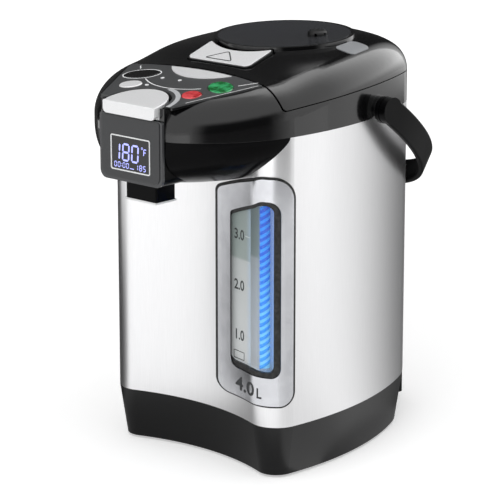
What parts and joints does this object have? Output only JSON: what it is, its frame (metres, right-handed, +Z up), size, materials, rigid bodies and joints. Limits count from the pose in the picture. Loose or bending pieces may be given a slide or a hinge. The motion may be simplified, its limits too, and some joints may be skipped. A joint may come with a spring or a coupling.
{
  "type": "electric thermo pot",
  "caption": "Upright electric thermo pot with a steel body, black base, hinged lid with release lever, pump spout under a display nose, level window and swinging bail handle.",
  "frame": {"origin": "centre of the bounding box in plan, on the floor", "axes": "+Z up, -Y towards the front with the spout, +X to the object's right seen from the front"},
  "size_m": [0.211, 0.3066, 0.3331],
  "materials": {
    "base_housing": "black plastic, half gloss",
    "base_screws": "zinc-plated steel",
    "bottom_plate": "black plastic",
    "button_board": "circuit board",
    "carry_handle": "black plastic, half gloss",
    "collar": "glossy black moulded plastic",
    "crescent_plate": "silver-white gloss",
    "deck_plate": "dark grey satin film",
    "dispense_key": "silver-white gloss",
    "display_bezel": "black plastic, half gloss",
    "display_board": "circuit board",
    "display_panel": "dark grey satin film",
    "frame_seal": "black rubber",
    "gauge_tray": "black plastic",
    "handle_pins": "zinc-plated steel",
    "heat_shield": "stainless steel",
    "heater_band": "mica-wrapped heating band",
    "heater_plate": "stainless steel",
    "hinge_pin": "zinc-plated steel",
    "indicator_lamps": "white",
    "inlet_hood": "black plastic, half gloss",
    "inlet_pins": "plated contacts",
    "inlet_socket": "black plastic",
    "inner_tank": "stainless steel",
    "label_plate": "silver-white gloss",
    "latch_bar": "black plastic, half gloss",
    "lcd_frame": "white",
    "lcd_screen": "dark display glass",
    "level_hose": "clear silicone hose",
    "lever_pin": "zinc-plated steel",
    "lever_plate": "silver-white gloss",
    "lid_gasket": "grey silicone",
    "lid_inner_cover": "grey plastic",
    "lid_top": "glossy black moulded plastic",
    "lock_button": "black",
    "mouth_gasket": "grey silicone",
    "nozzle_rim": "polished chrome trim",
    "outer_shell": "satin brushed stainless steel",
    "outlet_pipe": "stainless steel",
    "power_board": "circuit board",
    "pump_housing": "grey plastic",
    "pump_motor": "motor can",
    "release_lever": "black plastic, half gloss",
    "rubber_feet": "black rubber",
    "scale_plate": "grey-green printed plate",
    "sight_tube": "clear plastic",
    "snout": "black plastic, half gloss",
    "spout_bowl": "glossy black moulded plastic",
    "spout_nozzle": "black plastic, half gloss",
    "steam_dish": "dark grey gloss",
    "steam_vent": "black plastic",
    "suction_pipe": "stainless steel",
    "temperature_button": "silver-white gloss",
    "thermostat": "motor can",
    "timer_button": "red",
    "tube_boots": "black rubber",
    "unlock_button": "green",
    "window_frame": "polished chrome trim",
    "window_gasket": "black rubber",
    "window_pane": "clear plastic"
  },
  "bodies": {
    "pot": {"base_housing": "base_housing", "base_screws": "base_screws", "bottom_plate": "bottom_plate", "button_board": "button_board", "collar": "collar", "crescent_plate": "crescent_plate", "deck_plate": "deck_plate", "display_bezel": "display_bezel", "display_board": "display_board", "display_panel": "display_panel", "frame_seal": "frame_seal", "gauge_tray": "gauge_tray", "handle_pins": "handle_pins", "heat_shield": "heat_shield", "heater_band": "heater_band", "heater_plate": "heater_plate", "hinge_pin": "hinge_pin", "indicator_lamps": "indicator_lamps", "inlet_hood": "inlet_hood", "inlet_pins": "inlet_pins", "inlet_socket": "inlet_socket", "inner_tank": "inner_tank", "lcd_frame": "lcd_frame", "lcd_screen": "lcd_screen", "level_hose": "level_hose", "mouth_gasket": "mouth_gasket", "nozzle_rim": "nozzle_rim", "outer_shell": "outer_shell", "outlet_pipe": "outlet_pipe", "power_board": "power_board", "pump_housing": "pump_housing", "pump_motor": "pump_motor", "rubber_feet": "rubber_feet", "scale_plate": "scale_plate", "sight_tube": "sight_tube", "snout": "snout", "spout_bowl": "spout_bowl", "spout_nozzle": "spout_nozzle", "suction_pipe": "suction_pipe", "thermostat": "thermostat", "tube_boots": "tube_boots", "window_frame": "window_frame", "window_gasket": "window_gasket", "window_pane": "window_pane"},
    "lid": {"lid_top": "lid_top", "lid_inner_cover": "lid_inner_cover", "lid_gasket": "lid_gasket", "steam_dish": "steam_dish", "steam_vent": "steam_vent", "label_plate": "label_plate", "lever_pin": "lever_pin"},
    "lever": {"release_lever": "release_lever", "lever_plate": "lever_plate"},
    "latch": {"latch_bar": "latch_bar"},
    "handle": {"carry_handle": "carry_handle"},
    "key": {"dispense_key": "dispense_key"},
    "lock": {"lock_button": "lock_button"},
    "unlock": {"unlock_button": "unlock_button"},
    "temperature": {"temperature_button": "temperature_button"},
    "timer": {"timer_button": "timer_button"}
  },
  "joints": [
    {"name": "lid_hinge", "type": "hinge", "parent": "pot", "child": "lid", "pos_m": [0, 0.13536, 0.3005], "axis": [-1, 0, 0], "range_deg": [0, 85]},
    {"name": "lever_hinge", "type": "hinge", "parent": "lid", "child": "lever", "pos_m": [0, -0.03167, 0.32096], "axis": [-1, 0, 0], "range_deg": [0, 20], "stiffness_Nm_per_rad": 0.3},
    {"name": "latch_slide", "type": "slide", "parent": "lid", "child": "latch", "axis": [0, 1, 0], "range_m": [0, 0.0034]},
    {"name": "handle_swing", "type": "hinge", "parent": "pot", "child": "handle", "pos_m": [0, 0.03436, 0.28], "axis": [1, 0, 0], "range_deg": [0, 130]},
    {"name": "key_press", "type": "slide", "parent": "pot", "child": "key", "axis": [0, 0, -1], "range_m": [0, 0.003], "stiffness_N_per_m": 600},
    {"name": "lock_press", "type": "slide", "parent": "pot", "child": "lock", "axis": [0, 0.1685, -0.9857], "range_m": [0, 0.001], "stiffness_N_per_m": 600},
    {"name": "unlock_press", "type": "slide", "parent": "pot", "child": "unlock", "axis": [0, 0.1685, -0.9857], "range_m": [0, 0.001], "stiffness_N_per_m": 600},
    {"name": "temperature_press", "type": "slide", "parent": "pot", "child": "temperature", "axis": [0, 0.1685, -0.9857], "range_m": [0, 0.001], "stiffness_N_per_m": 600},
    {"name": "timer_press", "type": "slide", "parent": "pot", "child": "timer", "axis": [0, 0.1685, -0.9857], "range_m": [0, 0.001], "stiffness_N_per_m": 600}
  ],
  "couplings": [
    {"joint": "latch_slide", "follows": "lever_hinge", "m_per_rad": 0.0097403}
  ]
}
